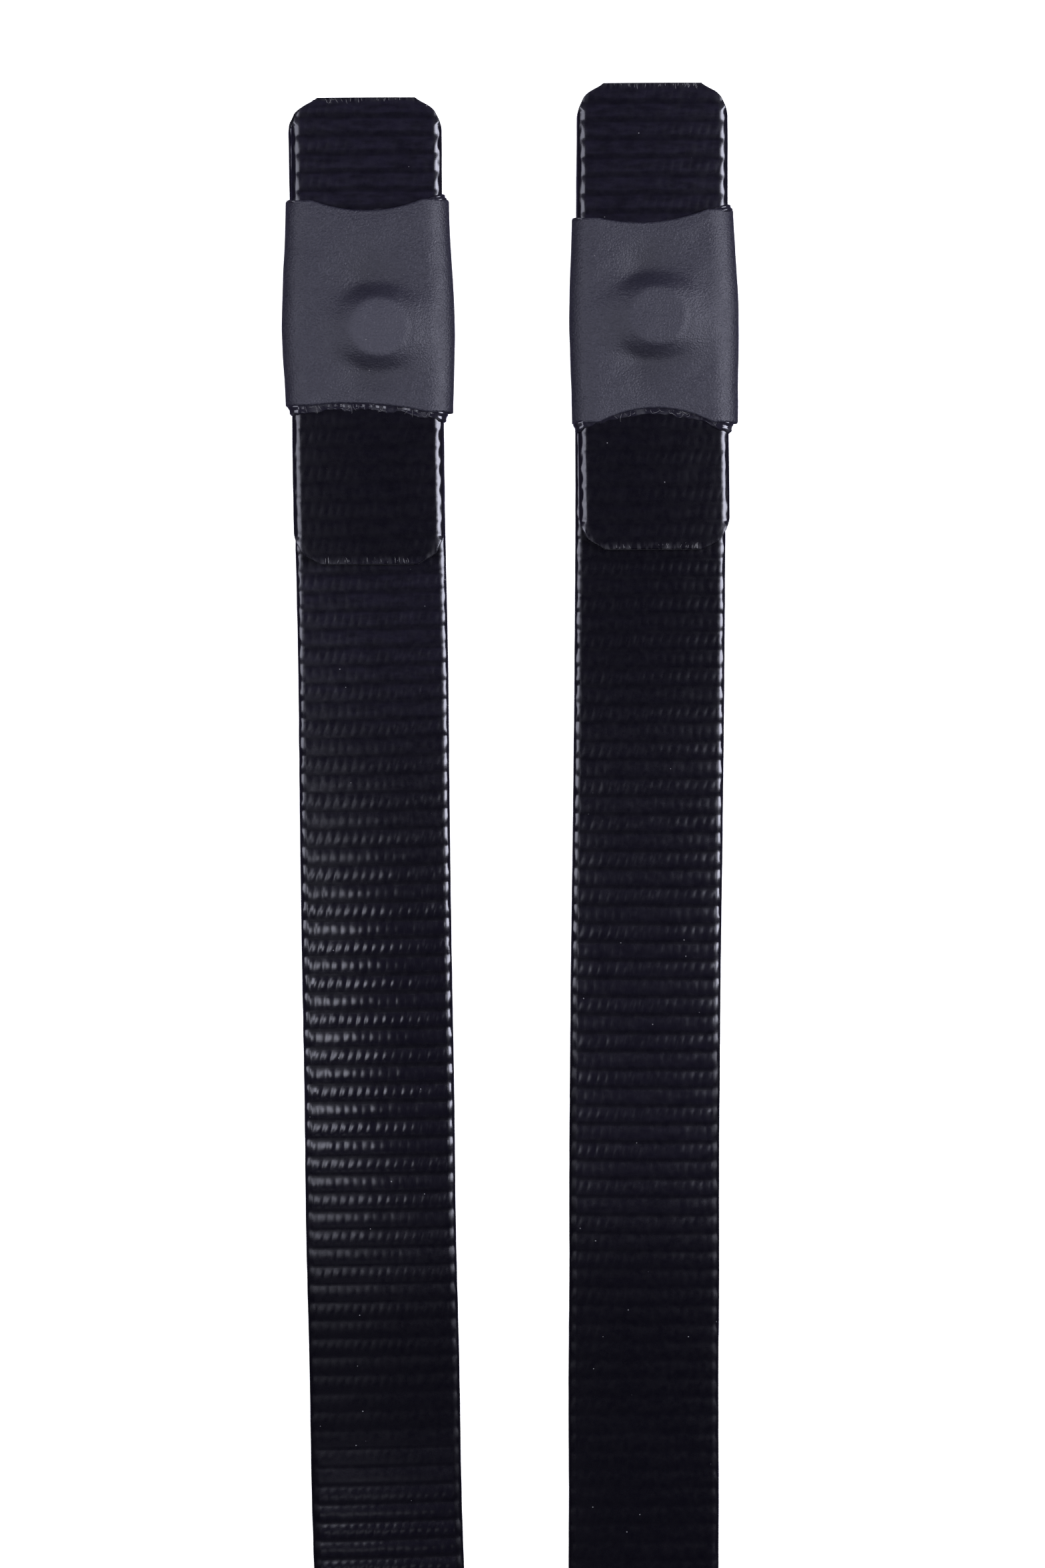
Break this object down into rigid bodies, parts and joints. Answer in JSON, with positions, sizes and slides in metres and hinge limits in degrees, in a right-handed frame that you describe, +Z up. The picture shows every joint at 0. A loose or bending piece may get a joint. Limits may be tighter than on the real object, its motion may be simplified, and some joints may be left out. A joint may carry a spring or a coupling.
{
  "type": "climbing skin straps",
  "caption": "Pair of flat coated-webbing straps for climbing skins, each with a doubled end held by a post under a heat-shrink sleeve.",
  "frame": {"origin": "centre of the pair's footprint, on the surface the straps lie on", "axes": "+Y along the straps towards the doubled ends, +X from the left strap to the right one, +Z up"},
  "size_m": [0.0762, 0.3026, 0.0077],
  "materials": {
    "black_coating": "glossy, smooth-edged plastic coating that shows the weave",
    "polyester_webbing": "tight woven yarn, seen only at cut ends",
    "heat_shrink": "matte, fine grain",
    "hot_melt": "glossy dried glue bead",
    "nickel_post": "plain nickel-plated"
  },
  "bodies": {
    "left_doubled_end": {"left_strap_core_1": "polyester_webbing", "left_strap_coating_1": "black_coating", "left_tab_core": "polyester_webbing", "left_tab_coating": "black_coating", "left_binding_post": "nickel_post", "left_binding_screw": "nickel_post", "left_hot_melt_glue": "hot_melt", "left_heat_shrink_sleeve": "heat_shrink"},
    "left_strap_link_2": {"left_strap_core_2": "polyester_webbing", "left_strap_coating_2": "black_coating"},
    "left_strap_link_3": {"left_strap_core_3": "polyester_webbing", "left_strap_coating_3": "black_coating"},
    "left_strap_link_4": {"left_strap_core_4": "polyester_webbing", "left_strap_coating_4": "black_coating"},
    "left_tab_lip": {"left_tab_lip_core": "polyester_webbing", "left_tab_lip_coating": "black_coating"},
    "left_tab_flap": {"left_tab_flap_core": "polyester_webbing", "left_tab_flap_coating": "black_coating"},
    "right_doubled_end": {"right_strap_core_1": "polyester_webbing", "right_strap_coating_1": "black_coating", "right_tab_core": "polyester_webbing", "right_tab_coating": "black_coating", "right_binding_post": "nickel_post", "right_binding_screw": "nickel_post", "right_hot_melt_glue": "hot_melt", "right_heat_shrink_sleeve": "heat_shrink"},
    "right_strap_link_2": {"right_strap_core_2": "polyester_webbing", "right_strap_coating_2": "black_coating"},
    "right_strap_link_3": {"right_strap_core_3": "polyester_webbing", "right_strap_coating_3": "black_coating"},
    "right_strap_link_4": {"right_strap_core_4": "polyester_webbing", "right_strap_coating_4": "black_coating"},
    "right_tab_lip": {"right_tab_lip_core": "polyester_webbing", "right_tab_lip_coating": "black_coating"},
    "right_tab_flap": {"right_tab_flap_core": "polyester_webbing", "right_tab_flap_coating": "black_coating"}
  },
  "joints": [
    {"name": "left_bend_1", "type": "hinge", "parent": "left_doubled_end", "child": "left_strap_link_2", "pos_m": [-0.02304, 0.06386, 0.00215], "axis": [-0.9998, -0.0183, 0], "range_deg": [-60, 60], "stiffness_Nm_per_rad": 0.03},
    {"name": "left_bend_2", "type": "hinge", "parent": "left_strap_link_2", "child": "left_strap_link_3", "pos_m": [-0.02204, -0.00779, 0.00126], "axis": [-0.9999, -0.014, 0], "range_deg": [-60, 60], "stiffness_Nm_per_rad": 0.03},
    {"name": "left_bend_3", "type": "hinge", "parent": "left_strap_link_3", "child": "left_strap_link_4", "pos_m": [-0.02073, -0.07945, 0.00126], "axis": [-0.9998, -0.0183, 0], "range_deg": [-60, 60], "stiffness_Nm_per_rad": 0.03},
    {"name": "left_lip_lift", "type": "hinge", "parent": "left_doubled_end", "child": "left_tab_lip", "pos_m": [-0.02389, 0.13475, 0.0048], "axis": [1, 0.0061, 0], "range_deg": [0, 55], "stiffness_Nm_per_rad": 0.01},
    {"name": "left_flap_lift", "type": "hinge", "parent": "left_doubled_end", "child": "left_tab_flap", "pos_m": [-0.02365, 0.09485, 0.0048], "axis": [-1, -0.0061, 0], "range_deg": [0, 55], "stiffness_Nm_per_rad": 0.01},
    {"name": "right_strap_apart", "type": "slide", "parent": "left_doubled_end", "child": "right_doubled_end", "axis": [1, 0, 0], "range_m": [-0.01, 0.12]},
    {"name": "right_bend_1", "type": "hinge", "parent": "right_doubled_end", "child": "right_strap_link_2", "pos_m": [0.02326, 0.0663, 0.00215], "axis": [-1, 0.0026, 0], "range_deg": [-60, 60], "stiffness_Nm_per_rad": 0.03},
    {"name": "right_bend_2", "type": "hinge", "parent": "right_strap_link_2", "child": "right_strap_link_3", "pos_m": [0.02244, -0.00536, 0.00126], "axis": [-0.9999, 0.0113, 0], "range_deg": [-60, 60], "stiffness_Nm_per_rad": 0.03},
    {"name": "right_bend_3", "type": "hinge", "parent": "right_strap_link_3", "child": "right_strap_link_4", "pos_m": [0.02207, -0.07702, 0.00126], "axis": [-1, 0.0052, 0], "range_deg": [-60, 60], "stiffness_Nm_per_rad": 0.03},
    {"name": "right_lip_lift", "type": "hinge", "parent": "right_doubled_end", "child": "right_tab_lip", "pos_m": [0.02356, 0.1333, 0.0048], "axis": [1, 0.0044, 0], "range_deg": [0, 55], "stiffness_Nm_per_rad": 0.01},
    {"name": "right_flap_lift", "type": "hinge", "parent": "right_doubled_end", "child": "right_tab_flap", "pos_m": [0.02374, 0.092, 0.0048], "axis": [-1, -0.0044, 0], "range_deg": [0, 55], "stiffness_Nm_per_rad": 0.01}
  ]
}
